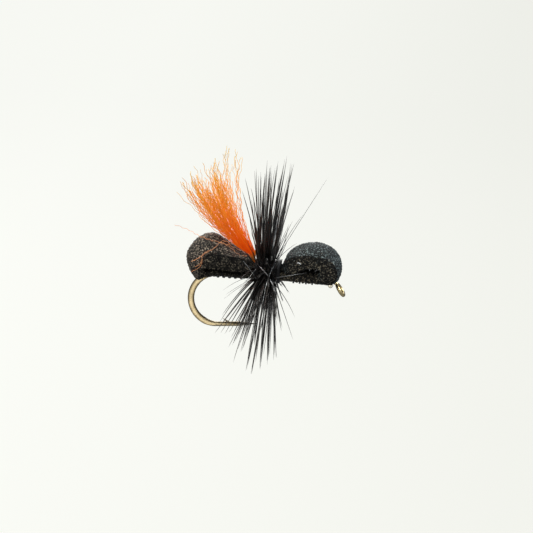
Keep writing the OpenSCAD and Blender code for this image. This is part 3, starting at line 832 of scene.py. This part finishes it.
# Fibres that have strayed back over the abdomen.
STRAY_FIBRES = [
    [(-8.7, -0.3, 2.8), (-9.9, -1.6, 3.7), (-11.05, -2.0, 4.2), (-12.3, -2.1, 4.45),
     (-13.5, -1.8, 4.7), (-14.6, -1.2, 5.05), (-16.0, -0.6, 5.3)],
    [(-10.3, -1.8, 4.1), (-11.2, -2.2, 4.5), (-11.95, -2.4, 3.8), (-12.8, -2.5, 3.2),
     (-13.7, -2.4, 2.5), (-14.1, -2.3, 2.3)],
    [(-12.5, -2.4, 3.5), (-13.05, -2.5, 3.05), (-13.1, -2.5, 2.2), (-13.4, -2.4, 1.7),
     (-14.0, -2.2, 1.3)],
    [(-13.0, -2.4, 2.6), (-13.3, -2.4, 2.1), (-13.7, -2.4, 1.8)],
    [(-8.75, -0.3, 2.75), (-9.6, -1.3, 3.0), (-10.6, -1.9, 3.9), (-11.5, -2.0, 4.3)]]
for k, stray in enumerate(STRAY_FIBRES):
    line = smooth_path(stray, 12 * len(stray))
    ripple = 0.05 * np.sin(np.arange(len(line)) * 0.9 + k)
    wing.add(line + np.outer(ripple, 0.5 * X + 0.8 * Z), 0.019, 5, own=APART)
wing.piece("yarn.wing", ["wing_fibres"], "yarn", yarn_orange)

butt_lo = mm_box("wing_butt")[0]
butt = Strands()
for k in range(60):
    # side by side under the wraps, then up to the row that the wing opens from
    row, layer = (k % 12 - 5.5) / 5.5, (k // 12 - 2) / 2
    across = (layer + 1) / 2
    top = ROOT_BACK + (ROOT_FRONT - ROOT_BACK) * across + Y * 0.25 * row
    low = np.array([waist_back, 0.22 * row, butt_lo[2] + 0.09 + 0.05 * layer])
    path = smooth_path([low + X * 1.05, low, (low + top) / 2 + Z * 0.03, top + 0.15 * unit(top - low)],
                       14)
    butt.add(path, 0.036, 5, own=0)
butt.piece("yarn.butt", ["wing_butt"], "yarn_root", yarn_root)


# ---- cement ----

drop_lo, drop_hi = mm_box("cement_drop")
# it is a little bigger than its CAD solid, and nearer the eye
DROP_L, DROP_W, DROP_SHIFT = 1.5 * (drop_hi[0] - drop_lo[0]), 1.2 * (drop_hi[1] - drop_lo[1]), 0.28
DROP_SIDES = 24
a = np.arange(DROP_SIDES) * 2 * math.pi / DROP_SIDES
rings = []
for t in np.arange(1, 16) * math.pi / 16:
    x = (drop_lo[0] + drop_hi[0]) / 2 + DROP_SHIFT + DROP_L / 2 * math.cos(t)
    swell = DROP_W / 2 * math.sin(t)
    rings.append(np.stack([x + 0.01 * np.sin(3 * a),
                           swell * np.cos(a),
                           drop_hi[2] - 0.03 - swell * (1.0 - 0.75 * np.sin(a))], 1))
make_piece("cement.drop", np.vstack(rings), skin_faces(len(rings), DROP_SIDES), ["cement_drop"],
           "cement", cement_amber)

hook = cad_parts["hook"]
hook.data.materials.clear()
hook.data.materials.append(hook_paint())


# ---- stage and light ----

def make_floor():
    """A pale floor that curves up far away on every side, and hardly shows a shadow."""
    drop, flat, bend, top, sides = -0.10, 0.80, 0.20, 1.5, 64
    t = np.linspace(0, math.pi / 2, 9)
    profile = list(zip(flat + bend * np.sin(t), drop + bend * (1 - np.cos(t)))) + [(flat + bend, top)]
    a = np.arange(sides) * 2 * math.pi / sides
    points = [(r * math.cos(way), r * math.sin(way), z) for r, z in profile for way in a]
    mesh = bpy.data.meshes.new("floor")
    mesh.from_pydata(points, [], skin_faces(len(profile), sides, closed=False) + [tuple(range(sides))])
    p = Paint("floor_paper")
    cloud = p.noise(0.01, 2.0)
    p.surface(p.blend(cloud, (0.030, 0.030, 0.029), (0.034, 0.034, 0.033)), 0.9,
              Specular_IOR_Level=0.0)
    place = p.node("ShaderNodeSeparateXYZ")
    p.join(p.place, place.inputs[0])
    # painted light: the floor shows by a glow of its own, a little darker towards +X
    across = p.math("MULTIPLY_ADD", place.outputs["X"], 0.006, 0.62, clamp=True)
    p.join(p.ramp(across, (0.0, (0.945, 0.955, 0.908)), (0.35, (0.915, 0.925, 0.875)),
                  (0.75, (0.868, 0.877, 0.825)), (1.0, (0.858, 0.867, 0.815))),
           p.shader.inputs["Emission Color"])
    p.shader.inputs["Emission Strength"].default_value = 0.97
    mesh.materials.append(p.material)
    made = bpy.data.objects.new("floor", mesh)
    bpy.context.scene.collection.objects.link(made)
    made.visible_diffuse = made.visible_glossy = made.visible_shadow = False


def add_light(name, azimuth, elevation, distance, size, watts, colour):
    """An area light that faces the fly from that side."""
    data = bpy.data.lights.new(name, "AREA")
    data.shape, data.size, data.energy, data.color = "DISK", size, watts, colour
    made = bpy.data.objects.new(name, data)
    bpy.context.scene.collection.objects.link(made)
    a, e = math.radians(azimuth), math.radians(elevation)
    away = Vector((math.sin(a) * math.cos(e), -math.cos(a) * math.cos(e), math.sin(e)))
    made.location = LOOK_AT + away * distance
    made.rotation_mode = "QUATERNION"
    made.rotation_quaternion = away.to_track_quat("Z", "Y")
    return made


make_floor()
add_light("left", -95, 42, 0.35, 0.20, 1.35, (1.0, 0.97, 0.93))
add_light("right", 95, 45, 0.38, 0.20, 0.95, (0.88, 0.95, 1.0))
add_light("behind", 190, 30, 0.45, 0.35, 1.6, (1.0, 0.99, 0.97))
add_light("front", -25, 30, 0.45, 0.10, 0.22, (1.0, 0.96, 0.90))
# a card that only shows in the metal
card = add_light("card", -8, -14, 0.40, 0.12, 0.045, (1.0, 0.98, 0.94))
card.visible_diffuse = False

world = bpy.data.worlds.new("room")
bpy.context.scene.world = world
world.use_nodes = True
room = world.node_tree.nodes["Background"]
direction = world.node_tree.nodes.new("ShaderNodeTexCoord").outputs["Generated"]
height = world.node_tree.nodes.new("ShaderNodeSeparateXYZ")
shade = world.node_tree.nodes.new("ShaderNodeMapRange")
world.node_tree.links.new(direction, height.inputs[0])
world.node_tree.links.new(height.outputs["Z"], shade.inputs["Value"])
for key, value in (("From Min", -0.3), ("From Max", 0.8), ("To Min", 0.20), ("To Max", 0.45)):
    shade.inputs[key].default_value = value
world.node_tree.links.new(shade.outputs[0], room.inputs["Strength"])
room.inputs["Color"].default_value = (0.92, 0.95, 0.96, 1)

bpy.context.scene.view_settings.view_transform = "Standard"
